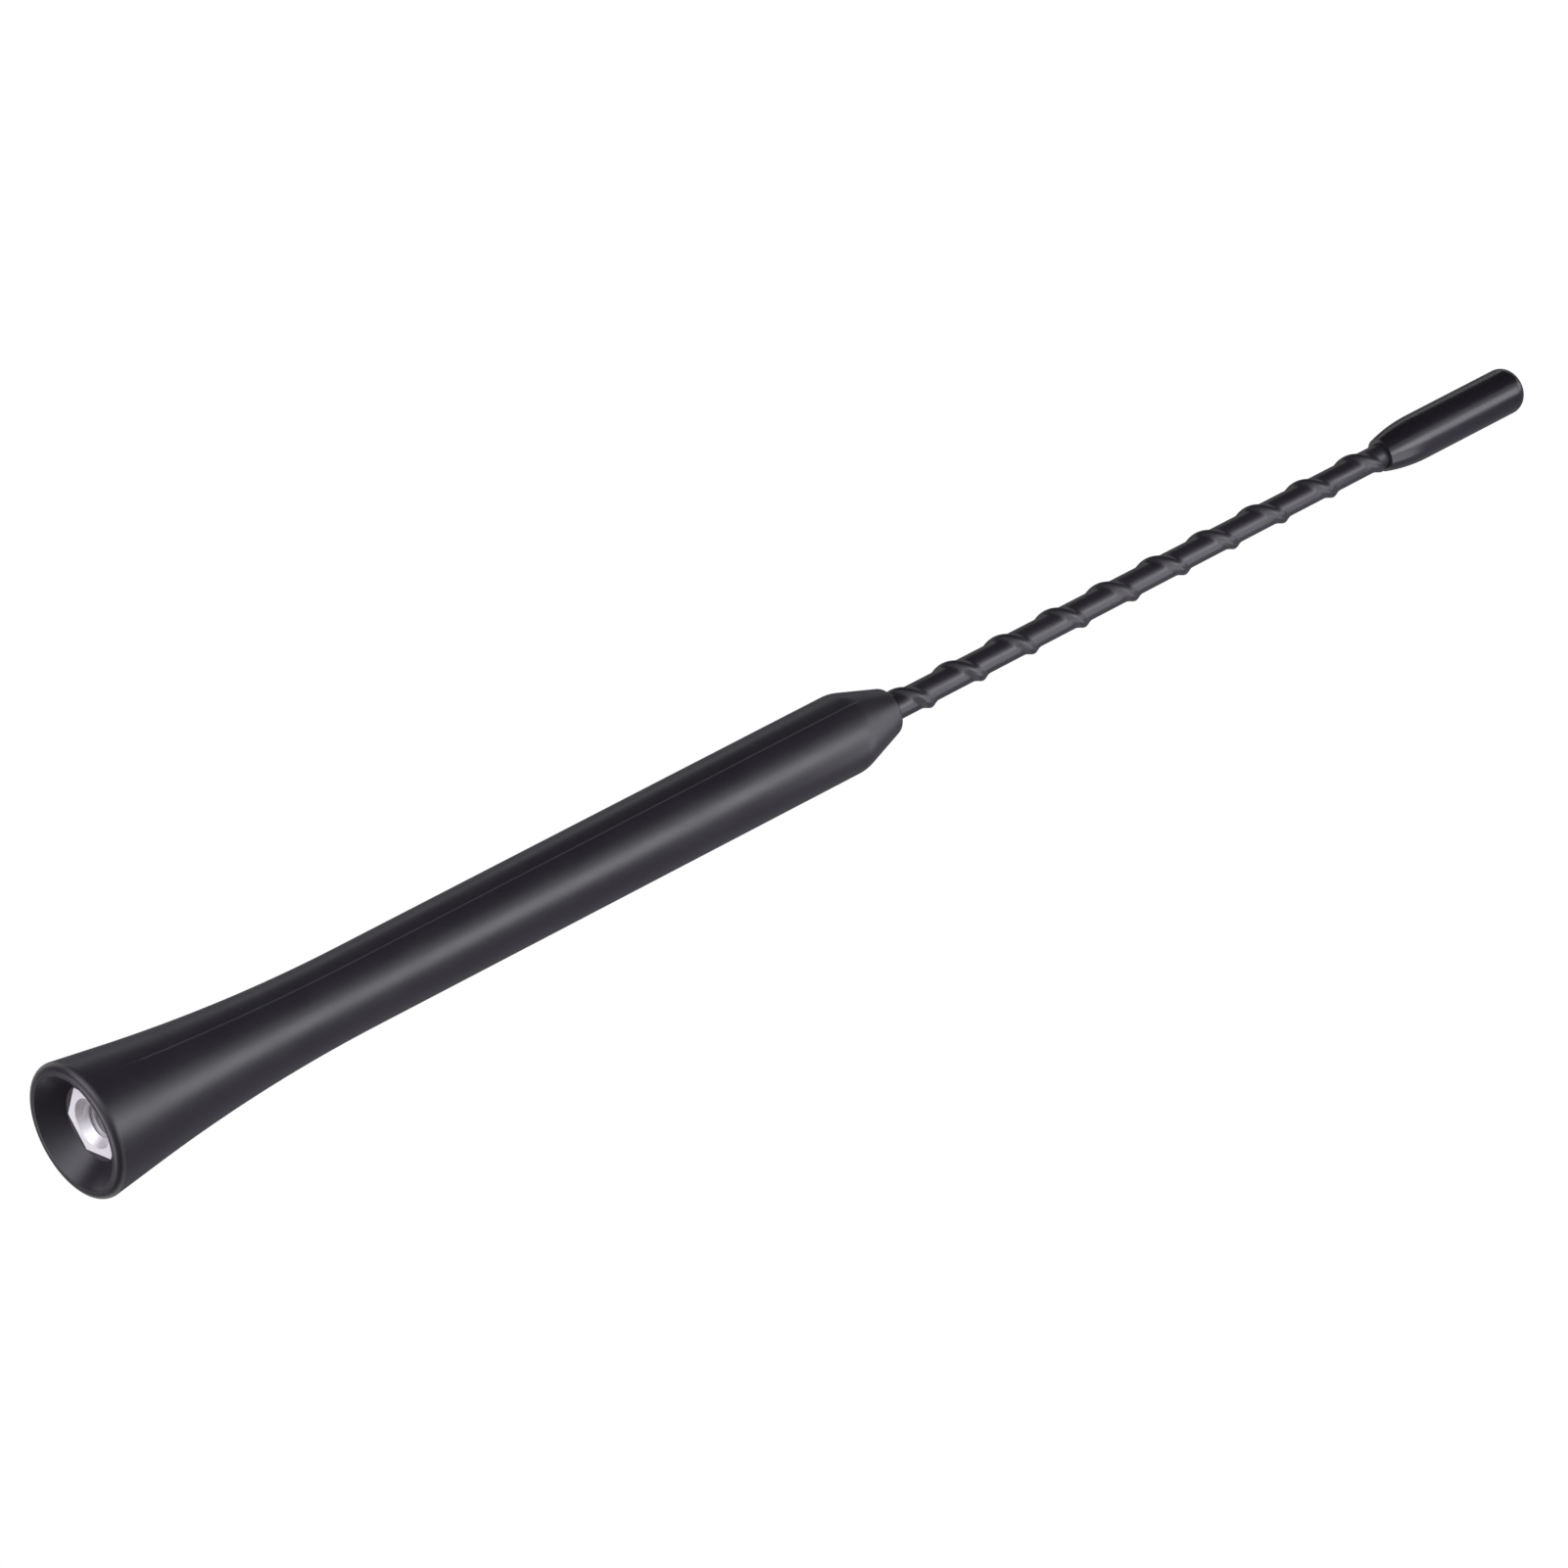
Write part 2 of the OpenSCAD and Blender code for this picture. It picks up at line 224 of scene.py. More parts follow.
@dataclass(frozen=True)
class TurnedNickel:
    """Nickel plate on turned brass: a bright white metal under a thin haze, with the tool's fine rings.

    The haze spreads the lamps' light, and faint stains change the shade and the gloss from place to place.
    """

    name: str = "nickel_plated_brass"
    shade: str = "#eae8ea"
    dull_shade: str = "#d6d2d6"
    roughness: float = 0.5
    roughness_spread: float = 0.1
    # The haze is the share that isn't metal
    metallic: float = 0.75
    ring_mm: float = 0.15
    ring_height_mm: float = 0.001
    stain_mm: float = 2.5

    def build(self) -> bpy.types.Material:
        """Makes the material.

        Returns:
            The material, with its stains and its rings.
        """
        material, tree = new_material(self.name)
        place = add_node(tree, "ShaderNodeTexCoord").outputs["Object"]
        stain = add_node(
            tree, "ShaderNodeTexNoise", {"Vector": place, "Scale": per_metre(self.stain_mm), "Detail": 3.0}
        ).outputs["Fac"]
        one_ring = per_metre(self.ring_mm) * FULL_TURN / WAVE_TURN
        rings = add_node(
            tree,
            "ShaderNodeTexWave",
            {"Vector": place, "Scale": one_ring, "Distortion": 0.4},
            wave_type="RINGS",
            rings_direction="Z",
        ).outputs["Fac"]
        shade = add_node(
            tree,
            "ShaderNodeMix",
            {"Factor": stain, MIX_A: linear(self.dull_shade), MIX_B: linear(self.shade)},
            data_type="RGBA",
        ).outputs[MIX_RESULT]
        gloss = add_node(
            tree,
            "ShaderNodeMapRange",
            {
                "Value": stain,
                "To Min": self.roughness + self.roughness_spread,
                "To Max": self.roughness - self.roughness_spread,
            },
        ).outputs["Result"]
        bump = add_node(
            tree, "ShaderNodeBump", {"Height": rings, "Strength": 1.0, "Distance": self.ring_height_mm * MM}
        ).outputs["Normal"]
        metal = add_node(
            tree,
            "ShaderNodeBsdfPrincipled",
            {"Base Color": shade, "Metallic": self.metallic, "Roughness": gloss, "Normal": bump},
        )
        add_node(tree, "ShaderNodeOutputMaterial", {"Surface": metal.outputs["BSDF"]})
        return material


@dataclass(frozen=True)
class DrawnFibre:
    """A drawn or wound inner piece, with streaks along the mast: fibreglass, copper or shrunk film."""

    name: str
    shade: str
    streak_shade: str
    roughness: float
    streak_mm: float
    streak_length_mm: float
    metallic: float = 0.0

    def build(self) -> bpy.types.Material:
        """Makes the material.

        Returns:
            The material, with its streaks.
        """
        material, tree = new_material(self.name)
        place = add_node(tree, "ShaderNodeTexCoord").outputs["Object"]
        stretched = add_node(
            tree,
            "ShaderNodeMapping",
            {"Vector": place, "Scale": (1.0, 1.0, self.streak_mm / self.streak_length_mm)},
        ).outputs["Vector"]
        streak = add_node(
            tree,
            "ShaderNodeTexNoise",
            {"Vector": stretched, "Scale": per_metre(self.streak_mm), "Detail": 4.0},
        ).outputs["Fac"]
        shade = add_node(
            tree,
            "ShaderNodeMix",
            {"Factor": streak, MIX_A: linear(self.shade), MIX_B: linear(self.streak_shade)},
            data_type="RGBA",
        ).outputs[MIX_RESULT]
        skin = add_node(
            tree,
            "ShaderNodeBsdfPrincipled",
            {"Base Color": shade, "Metallic": self.metallic, "Roughness": self.roughness},
        )
        add_node(tree, "ShaderNodeOutputMaterial", {"Surface": skin.outputs["BSDF"]})
        return material


# Soft PVC from a fine mould, which gives the grip one broad soft highlight. The real grain is too fine to
# show, so this one is coarser
GRIP_RUBBER = MouldedPlastic(
    name="soft_pvc_grip",
    shade="#1e1c22",
    worn_shade="#232127",
    roughness=0.38,
    roughness_spread=0.03,
    grain_mm=0.35,
    grain_height_mm=0.006,
)
# Polyolefin sleeving, shrunk over the rod and the wire: a satin skin that is a little uneven
JACKET_PLASTIC = MouldedPlastic(
    name="shrunk_polyolefin_jacket",
    shade="#201e24",
    worn_shade="#252329",
    roughness=0.36,
    roughness_spread=0.04,
    grain_mm=0.5,
    grain_height_mm=0.006,
    flow_mm=5.0,
)
# ABS from a polished mould: the darkest and glossiest of the black pieces, almost without grain
CAP_PLASTIC = MouldedPlastic(
    name="moulded_abs_cap",
    shade="#19171c",
    worn_shade="#1d1b21",
    roughness=0.27,
    roughness_spread=0.03,
    grain_mm=0.6,
    grain_height_mm=0.002,
)
# Inside the mast: pale fibreglass with long streaks, bright copper under a clear enamel, and black film
# that is duller than the rest
INNER_FINISHES = {
    "core_rod": DrawnFibre(
        name="drawn_fibreglass",
        shade="#d9d0a4",
        streak_shade="#c2b67f",
        roughness=0.4,
        streak_mm=0.3,
        streak_length_mm=12.0,
    ),
    "aerial_wire": DrawnFibre(
        name="enamelled_copper_wire",
        shade="#b3592c",
        streak_shade="#8e3f1c",
        roughness=0.28,
        streak_mm=0.4,
        streak_length_mm=1.0,
        metallic=1.0,
    ),
    "coil_sleeve": DrawnFibre(
        name="shrunk_black_film",
        shade="#161617",
        streak_shade="#1e1e20",
        roughness=0.5,
        streak_mm=0.8,
        streak_length_mm=8.0,
    ),
}


def unit(vector: Vector) -> Vector:
    """The vector at length 1."""
    return vector.normalized()


def fillet_reach(before: Point, corner: Point, after: Point, radius: float) -> float:
    """Length that a fillet takes from each side of its corner.

    Args:
        before: point of the outline before the corner.
        corner: the sharp corner.
        after: point of the outline after the corner.
        radius: radius of the fillet.

    Returns:
        The length, in the outline's unit.
    """
    to_before, to_after = unit(Vector(before) - Vector(corner)), unit(Vector(after) - Vector(corner))
    return radius / math.tan(to_before.angle(to_after) / 2)


def fillet(before: Point, corner: Point, after: Point, radius: float, steps: int = 10) -> list[Point]:
    """Points of a fillet on one corner of an outline.

    Args:
        before: point of the outline before the corner.
        corner: the sharp corner.
        after: point of the outline after the corner.
        radius: radius of the fillet.
        steps: number of edges in the arc.

    Returns:
        The arc's points, in the outline's order.
    """
    tip = Vector(corner)
    to_before, to_after = unit(Vector(before) - tip), unit(Vector(after) - tip)
    reach = fillet_reach(before, corner, after, radius)
    centre = tip + unit(to_before + to_after) * radius / math.sin(to_before.angle(to_after) / 2)
    first, last = tip + to_before * reach - centre, tip + to_after * reach - centre
    return [tuple(centre + unit(first.lerp(last, i / steps)) * radius) for i in range(steps + 1)]


def deselect_all() -> None:
    """Leaves nothing selected, in object mode."""
    if bpy.context.object and bpy.context.object.mode != "OBJECT":
        bpy.ops.object.mode_set(mode="OBJECT")
    bpy.ops.object.select_all(action="DESELECT")


def edit_all(piece: bpy.types.Object) -> None:
    """Opens a piece in edit mode with all of it selected.

    Args:
        piece: mesh object to edit.
    """
    deselect_all()
    piece.select_set(True)
    bpy.context.view_layer.objects.active = piece
    bpy.ops.object.mode_set(mode="EDIT")
    bpy.ops.mesh.select_mode(type="VERT")
    bpy.ops.mesh.select_all(action="SELECT")


def weld_and_face_out(piece: bpy.types.Object) -> None:
    """Merges doubled points of a piece, turns its faces outwards and leaves it in object mode.

    Args:
        piece: mesh object to clean.
    """
    edit_all(piece)
    bpy.ops.mesh.remove_doubles(threshold=WELD)
    bpy.ops.mesh.dissolve_degenerate(threshold=WELD)
    bpy.ops.mesh.select_all(action="SELECT")
    bpy.ops.mesh.normals_make_consistent(inside=False)
    bpy.ops.object.mode_set(mode="OBJECT")


def draw_outline(name: str, outline: list[Point], closed: bool = False) -> bpy.types.Object:
    """Draws an outline in the XZ plane, one extruded point after another.

    Args:
        name: name of the piece.
        outline: radius and height of each point, in millimetres.
        closed: whether the last point joins the first.

    Returns:
        The piece, in edit mode, with edges and no faces.
    """
    deselect_all()
    # A small plane, merged to one point, starts the outline
    bpy.ops.mesh.primitive_plane_add(size=MM)
    piece = bpy.context.object
    piece.name = piece.data.name = name
    edit_all(piece)
    bpy.ops.mesh.merge(type="CENTER")
    bpy.ops.transform.translate(value=(outline[0][0] * MM, 0.0, outline[0][1] * MM))
    for here, there in zip(outline, outline[1:]):
        step = ((there[0] - here[0]) * MM, 0.0, (there[1] - here[1]) * MM)
        bpy.ops.mesh.extrude_region_move(TRANSFORM_OT_translate={"value": step})
    if closed:
        # The last point is still selected, so the edge runs from there to the first
        bpy.ops.object.mode_set(mode="OBJECT")
        piece.data.vertices[0].select = True
        bpy.ops.object.mode_set(mode="EDIT")
        bpy.ops.mesh.edge_face_add()
    bpy.ops.mesh.select_all(action="SELECT")
    return piece


def spun_piece(name: str, outline: list[Point], steps: int) -> bpy.types.Object:
    """Turns an outline round the mast's axis.

    Args:
        name: name of the piece.
        outline: radius and height of each point, in millimetres.
        steps: number of faces round the axis.

    Returns:
        The piece, in object mode, facing outwards.
    """
    piece = draw_outline(name, outline)
    bpy.ops.mesh.spin(steps=steps, angle=FULL_TURN, center=(0.0, 0.0, 0.0), axis=(0.0, 0.0, 1.0))
    weld_and_face_out(piece)
    return piece


def apply_modifier(piece: bpy.types.Object, kind: str, **settings: object) -> None:
    """Adds a modifier to a piece and applies it.

    Args:
        piece: mesh object to change.
        kind: Blender's name of the modifier type.
        settings: properties of the modifier.
    """
    deselect_all()
    piece.select_set(True)
    bpy.context.view_layer.objects.active = piece
    modifier = piece.modifiers.new(kind.lower(), kind)
    for name, value in settings.items():
        setattr(modifier, name, value)
    bpy.ops.object.modifier_apply(modifier=modifier.name)


def cut(piece: bpy.types.Object, cutter: bpy.types.Object) -> None:
    """Cuts one solid out of another and removes the cutter.

    Args:
        piece: solid that is cut.
        cutter: solid that is taken away.
    """
    apply_modifier(piece, "BOOLEAN", operation="DIFFERENCE", solver="EXACT", object=cutter)
    bpy.data.objects.remove(cutter, do_unlink=True)


def trim(piece: bpy.types.Object, height_mm: float, keep_below: bool, fill: bool) -> None:
    """Cuts a piece level at a height.

    Args:
        piece: mesh object to cut.
        height_mm: height of the cut.
        keep_below: whether the part below the cut stays, and not the part above.
        fill: whether the cut is closed with a face.
    """
    edit_all(piece)
    bpy.ops.mesh.bisect(
        plane_co=(0.0, 0.0, height_mm * MM),
        plane_no=(0.0, 0.0, 1.0),
        use_fill=fill,
        clear_outer=keep_below,
        clear_inner=not keep_below,
    )
    bpy.ops.object.mode_set(mode="OBJECT")


def finish_piece(piece: bpy.types.Object, material: bpy.types.Material) -> None:
    """Shades a finished piece, gives it its material and lets it ride on the mast.

    Args:
        piece: mesh object at its place.
        material: finish of the piece.
    """
    deselect_all()
    piece.select_set(True)
    bpy.context.view_layer.objects.active = piece
    bpy.ops.object.shade_smooth_by_angle(angle=SHARP_EDGE)
    piece.data.materials.clear()
    piece.data.materials.append(material)
    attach(piece, BODY)
    LOG.info("%s: %d faces", piece.name, len(piece.data.polygons))


@dataclass
class Ridge:
    """The whip's skin with its helical ridge, which the grip and the cap are moulded round."""

    grip_top: float
    cap_foot: float
    # Radius of the plain skin at the grip and at the cap
    root_r: float = 4.05 / 2
    tip_r: float = 3.72 / 2
    # Height of the ridge half-way up the whip
    height: float = 0.5
    half_width: float = 1.707
    pitch: float = 10.24
    # Height of a crest above the grip, on the +X side
    first_rise: float = 7.04
    flank_steps: int = 9
    plain_steps: int = 8
    turn_steps: int = 72

    def taper(self) -> float:
        """Change of the skin's radius for each millimetre up, as a share of its radius at height 0."""
        slope = (self.tip_r - self.root_r) / (self.cap_foot - self.grip_top)
        return slope / (self.root_r - slope * self.grip_top)

    def turn_outline(self, foot: float, gap: float) -> list[Point]:
        """Outline of the skin along one turn of the ridge, as it is before its taper.

        Args:
            foot: height at which the outline starts and the ridge has its crest, on the +X side.
            gap: distance by which the skin is grown.

        Returns:
            Points from one crest to the next.
        """
        slope = self.taper()
        middle = (self.grip_top + self.cap_foot) / 2
        plain_r = self.root_r / (1 + slope * self.grip_top) + gap
        height = self.height / (1 + slope * middle)
        flank = [self.half_width * i / self.flank_steps for i in range(self.flank_steps + 1)]
        plain = self.pitch - 2 * self.half_width
        rise = flank + [self.half_width + plain * i / self.plain_steps for i in range(1, self.plain_steps)]
        rise += [self.pitch - z for z in reversed(flank)]
        outline = []
        for z in rise:
            from_crest = min(z, self.pitch - z) / self.half_width
            swell = (1 + math.cos(math.pi * from_crest)) / 2 if from_crest < 1 else 0.0
            outline.append((plain_r + height * swell, foot + z))
        return outline

    def skin(self, name: str, low: float, high: float, gap: float, closed: bool) -> bpy.types.Object:
        """Winds the skin between two heights.

        Args:
            name: name of the piece.
            low: height of its foot.
            high: height of its top.
            gap: distance by which it is grown.
            closed: whether its ends are closed, so that it is a solid.

        Returns:
            The skin, in object mode.
        """
        crest = self.grip_top + self.first_rise
        turns_down = math.ceil((crest - low) / self.pitch) + 1
        foot = crest - turns_down * self.pitch
        turns = math.ceil((high - foot) / self.pitch)
        piece = draw_outline(name, self.turn_outline(foot, gap))
        bpy.ops.object.mode_set(mode="OBJECT")
        apply_modifier(
            piece,
            "SCREW",
            axis="Z",
            angle=FULL_TURN,
            screw_offset=self.pitch * MM,
            iterations=turns,
            steps=self.turn_steps,
            render_steps=self.turn_steps,
            use_merge_vertices=True,
            merge_threshold=WELD,
        )
        trim(piece, low, keep_below=False, fill=closed)
        trim(piece, high, keep_below=True, fill=closed)
        # The taper modifier counts its factor over the whole height of the piece
        factor = self.taper() * (high - low)
        apply_modifier(piece, "SIMPLE_DEFORM", deform_method="TAPER", deform_axis="Z", factor=factor)
        weld_and_face_out(piece)
        return piece


@dataclass
class Grip:
    """The moulded grip: flared round its mouth, straight, and tapered to a nose round the whip."""

    length: float
    ridge: Ridge
    straight_r: float = 12.4 / 2
    mouth_r: float = 20.9 / 2
    # The flare is a cone up to the first of these heights and a curve from there to the second
    cone_len: float = 9.3
    flare_len: float = 50.4
    # Width of the rim, and the rounding of its outer and its inner edge
    rim_w: float = 1.8
    rim_round: float = 1.2
    rim_inner_round: float = 0.3
    rim_steps: int = 16
    recess_depth: float = 3.4
    hex_corner_r: float = 4.8 / math.cos(math.pi / 6)
    hex_top: float = 10.4
    # Width of the recess's floor past the hexagon's corners
    floor_w: float = 0.15
    shoulder_len: float = 8.4
    shoulder_round: float = 7.0
    # Width of the nose's end past the ridge's crest
    nose_w: float = 0.25
    nose_round: float = 1.0
    # Gap between the grip and what it is moulded round
    fit: float = 0.03
    flare_steps: int = 28
    straight_steps: int = 12
    turn_steps: int = 160
    # Radius and height of the stepped hole behind the hexagon, up to the foot of the whip
    stem_hole: tuple[Point, ...] = ((3.73, 12.4), (4.53, 12.4), (4.53, 20.4), (2.93, 20.4), (2.93, 32.4))
    # Radius of the hole for the coil's sleeve, and the depth to which the whip reaches into the grip
    sleeve_r: float = 2.53
    whip_seat: float = 5.0
    # Angle of the parting plane, which a row of the spun points lies on
    parting_deg: float = -31.5
    parting_w: float = 0.24
    parting_height: float = 0.062
    # Height above the recess's floor at which the line starts
    parting_foot: float = 0.1

    def outline(self) -> list[Point]:
        """Outline from the middle of the recess's floor, round the rim and up to the nose.

        Returns:
            Radius and height of each point.
        """
        floor_edge = (self.hex_corner_r + self.floor_w, self.recess_depth)
        rim_in = (self.mouth_r - self.rim_w, 0.0)
        return [
            (0.0, self.recess_depth),
            floor_edge,
            *fillet(floor_edge, rim_in, (self.mouth_r, 0.0), self.rim_inner_round),
            *self.outside(rim_in),
            (0.0, self.length),
        ]

    def outside(self, rim_in: Point) -> list[Point]:
        """Outline of the outside, from the rim's flat ring to the nose's.

        Args:
            rim_in: inner edge of the rim, before it is rounded.

        Returns:
            Radius and height of each point.
        """
        flare_k = (self.mouth_r - self.straight_r) / (self.flare_len**2 - self.cone_len**2)
        curve_len = self.flare_len - self.cone_len
        cone_top = (self.straight_r + flare_k * curve_len**2, self.cone_len)
        cone_foot = (cone_top[0] + 2 * flare_k * curve_len * self.cone_len, 0.0)
        flare = [
            (self.straight_r + flare_k * (curve_len * (1 - i / self.flare_steps)) ** 2,
             self.cone_len + curve_len * i / self.flare_steps)
            for i in range(1, self.flare_steps + 1)
        ]
        shoulder = (self.straight_r, self.length - self.shoulder_len)
        straight_len = shoulder[1] - self.flare_len
        straight = [
            (self.straight_r, self.flare_len + straight_len * i / self.straight_steps)
            for i in range(1, self.straight_steps)
        ]
        nose_flat = (self.ridge.root_r + self.ridge.height + self.fit + self.nose_w, self.length)
        reach = fillet_reach(shoulder, nose_flat, (0.0, self.length), self.nose_round)
        nose = (nose_flat[0] + reach, self.length)
        return [
            *fillet(rim_in, cone_foot, cone_top, self.rim_round, self.rim_steps),
            cone_top,
            *flare,
            *straight,
            *fillet(straight[-1], shoulder, nose, self.shoulder_round),
            *fillet(shoulder, nose, nose_flat, self.nose_round),
        ]

    def raise_parting_line(self, piece: bpy.types.Object) -> None:
        """Raises the fine line on each side where the two halves of the mould met.

        Args:
            piece: the grip as it is spun, with a row of points on the parting plane.
        """
        across = Matrix.Rotation(math.radians(self.parting_deg), 3, "Z") @ Vector((1.0, 0.0, 0.0))
        edit_all(piece)
        for side in (-1, 1):
            bpy.ops.mesh.select_all(action="SELECT")
            bpy.ops.mesh.bisect(plane_co=across * side * self.parting_w / 2 * MM, plane_no=across)
        bpy.ops.mesh.select_all(action="DESELECT")
        bpy.ops.object.mode_set(mode="OBJECT")
        low = (self.recess_depth + self.parting_foot) * MM
        high = (self.length - self.nose_round) * MM
        for vertex in piece.data.vertices:
            on_plane = abs(vertex.co.dot(across)) < ON_PLANE
            vertex.select = on_plane and low < vertex.co.z < high
        bpy.ops.object.mode_set(mode="EDIT")
        bpy.ops.transform.shrink_fatten(value=self.parting_height * MM)
        bpy.ops.object.mode_set(mode="OBJECT")

    def hexagon_cutter(self) -> bpy.types.Object:
        """Makes the solid that cuts the pocket of the socket's hexagon.

        Returns:
            The cutter, in object mode.
        """
        deselect_all()
        depth = self.hex_top - self.recess_depth + OVER
        bpy.ops.mesh.primitive_cylinder_add(
            vertices=6,
            radius=(self.hex_corner_r + self.fit) * MM,
            depth=depth * MM,
            location=(0.0, 0.0, (self.hex_top - depth / 2) * MM),
        )
        cutter = bpy.context.object
        # Turned so that a flat faces +Y, as the socket's does
        bpy.ops.transform.rotate(value=math.pi / 6, orient_axis="Z", center_override=(0.0, 0.0, 0.0))
        bpy.ops.object.transform_apply(location=True, rotation=True, scale=True)
        return cutter

    def stem_cutter(self) -> bpy.types.Object:
        """Makes the solid that cuts the stepped hole for the socket's stem and the coil's sleeve.

        Returns:
            The cutter, in object mode.
        """
        seat_foot = self.length - self.whip_seat
        outline = [(0.0, self.hex_top - OVER), (self.stem_hole[0][0], self.hex_top - OVER), *self.stem_hole]
        outline += [(self.sleeve_r, self.stem_hole[-1][1]), (self.sleeve_r, seat_foot), (0.0, seat_foot)]
        return spun_piece("stem_cutter", outline, self.turn_steps // 2)

    def build(self, material: bpy.types.Material) -> None:
        """Makes and dresses the grip.

        Args:
            material: the grip's finish.
        """
        piece = spun_piece("moulded_grip", self.outline(), self.turn_steps)
        self.raise_parting_line(piece)
        cut(piece, self.hexagon_cutter())
        cut(piece, self.stem_cutter())
        seat_foot = self.length - self.whip_seat - OVER
        cut(piece, self.ridge.skin("seat_cutter", seat_foot, self.length + OVER, self.fit, closed=True))
        finish_piece(piece, material)
        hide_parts("grip")


@dataclass
class Socket:
    """The plated socket: the solid's own form, with its metric thread cut in."""

    # Radius of the thread's crests and of its roots, which lie further out
    core_r: float = 2.5
    major_r: float = 3.0
    pitch: float = 1.0
    # Heights between which the thread is wound
    thread_low: float = 2.8
    thread_high: float = 15.8
    # Half the groove's width where it opens and at its root, as shares of the pitch
    open_share: float = 0.44
    root_share: float = 1 / 16
    # Distance by which the cutter starts inside the wall of the hole
    cutter_inset: float = 0.08
    turn_steps: int = 60

    def thread_cutter(self) -> bpy.types.Object:
        """Makes the solid that cuts the thread: a blunt-topped V wound up the hole.

        Returns:
            The cutter, in object mode.
        """
        crest, root = self.pitch * self.open_share, self.pitch * self.root_share
        inside = self.core_r - self.cutter_inset
        low = self.thread_low
        section = [
            (inside, low - crest),
            (self.major_r, low - root),
            (self.major_r, low + root),
            (inside, low + crest),
        ]
        cutter = draw_outline("thread_cutter", section, closed=True)
        bpy.ops.object.mode_set(mode="OBJECT")
        apply_modifier(
            cutter,
            "SCREW",
            axis="Z",
            angle=FULL_TURN,
            screw_offset=self.pitch * MM,
            iterations=round((self.thread_high - low) / self.pitch),
            steps=self.turn_steps,
            render_steps=self.turn_steps,
        )
        edit_all(cutter)
        bpy.ops.mesh.remove_doubles(threshold=WELD)
        bpy.ops.mesh.select_all(action="SELECT")
        bpy.ops.mesh.fill_holes(sides=0)
        weld_and_face_out(cutter)
        return cutter

    def build(self, node: bpy.types.Object, material: bpy.types.Material) -> None:
        """Makes and dresses the socket.

        Args:
            node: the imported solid, which is copied and left as it is.
            material: the socket's finish.
        """
        deselect_all()
        piece = bpy.data.objects.new("plated_socket", node.data.copy())
        bpy.context.scene.collection.objects.link(piece)
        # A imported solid's mesh is loose triangles, so its points are merged first
        edit_all(piece)
        bpy.ops.mesh.customdata_custom_splitnormals_clear()
        bpy.ops.mesh.remove_doubles(threshold=WELD)
        bpy.ops.object.mode_set(mode="OBJECT")
        cut(piece, self.thread_cutter())
        finish_piece(piece, material)
        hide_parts("thread_socket")


@dataclass
class Whip:
    """The whip's jacket, a shrunk skin of even thickness that follows the wire under it."""

    foot: float
    top: float
    ridge: Ridge
    wall: float = 0.44

    def build(self, material: bpy.types.Material) -> None:
        """Makes and dresses the jacket.

        Args:
            material: the jacket's finish.
        """
        piece = self.ridge.skin("whip_skin", self.foot, self.top, 0.0, closed=False)
        apply_modifier(piece, "SOLIDIFY", thickness=self.wall * MM, offset=-1.0, use_rim=True)
        weld_and_face_out(piece)
        finish_piece(piece, material)
        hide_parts("whip_jacket")


@dataclass
class Cap:
    """The closed cap, which swells from a thin rim to its full width."""

    foot: float
    top: float
    ridge: Ridge
    full_r: float = 3.6
    rim_w: float = 0.25
    swell_len: float = 7.6
    end_round: float = 2.3
    end_steps: int = 16
    # Depth to which the whip reaches into the cap, and the gap round it
    seat: float = 7.0
    fit: float = 0.03
    swell_steps: int = 16
    turn_steps: int = 128

    def outline(self) -> list[Point]:
        """Outline from the middle of the rim's plane to the middle of the closed end.

        Returns:
            Radius and height of each point.
        """
        rim_r = self.ridge.tip_r + self.ridge.height + self.rim_w
        swell_k = (self.full_r - rim_r) / self.swell_len**2
        swelling = [
            (self.full_r - swell_k * (self.swell_len * (1 - i / self.swell_steps)) ** 2,
             self.foot + self.swell_len * i / self.swell_steps)
            for i in range(self.swell_steps + 1)
        ]
        end_edge = (self.full_r, self.top)
        end = fillet(swelling[-1], end_edge, (0.0, self.top), self.end_round, self.end_steps)
        return [(0.0, self.foot), *swelling, *end, (0.0, self.top)]

    def build(self, material: bpy.types.Material) -> None:
        """Makes and dresses the cap.

        Args:
            material: the cap's finish.
        """
        piece = spun_piece("moulded_cap", self.outline(), self.turn_steps)
        low, high = self.foot - OVER, self.foot + self.seat
        cut(piece, self.ridge.skin("cap_cutter", low, high, self.fit, closed=True))
        finish_piece(piece, material)
        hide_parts("tip_cap")


@dataclass(frozen=True)
class Softbox:
    """One soft lamp, aimed at a height on the mast. Its radiance counts white paper in full light as 1.

    It hangs at an angle round the mast, from the camera's side towards +X, and at a height angle.
    """

    name: str
    around_deg: float
    height_deg: float
    radiance: float
    size_m: tuple[float, float]
    distance_m: float = 1.2
    tint: tuple[float, float, float] = (0.95, 0.94, 1.0)
    aim_mm: float = 140.0

    def hang(self) -> None:
        """Hangs the lamp, facing the mast."""
        around, height = math.radians(self.around_deg), math.radians(self.height_deg)
        towards = Vector(
            (math.sin(around) * math.cos(height), -math.cos(around) * math.cos(height), math.sin(height))
        )
        data = bpy.data.lights.new(self.name, "AREA")
        data.shape = "RECTANGLE"
        data.size, data.size_y = self.size_m
        # Power that gives a flat lamp of this size its radiance
        data.energy = self.radiance * math.pi * data.size * data.size_y
        data.color = self.tint
        lamp = bpy.data.objects.new(self.name, data)
        bpy.context.scene.collection.objects.link(lamp)
        lamp.location = Vector((0.0, 0.0, self.aim_mm * MM)) + towards * self.distance_m
        lamp.rotation_euler = towards.to_track_quat("Z", "Y").to_euler()
        lamp.visible_camera = False


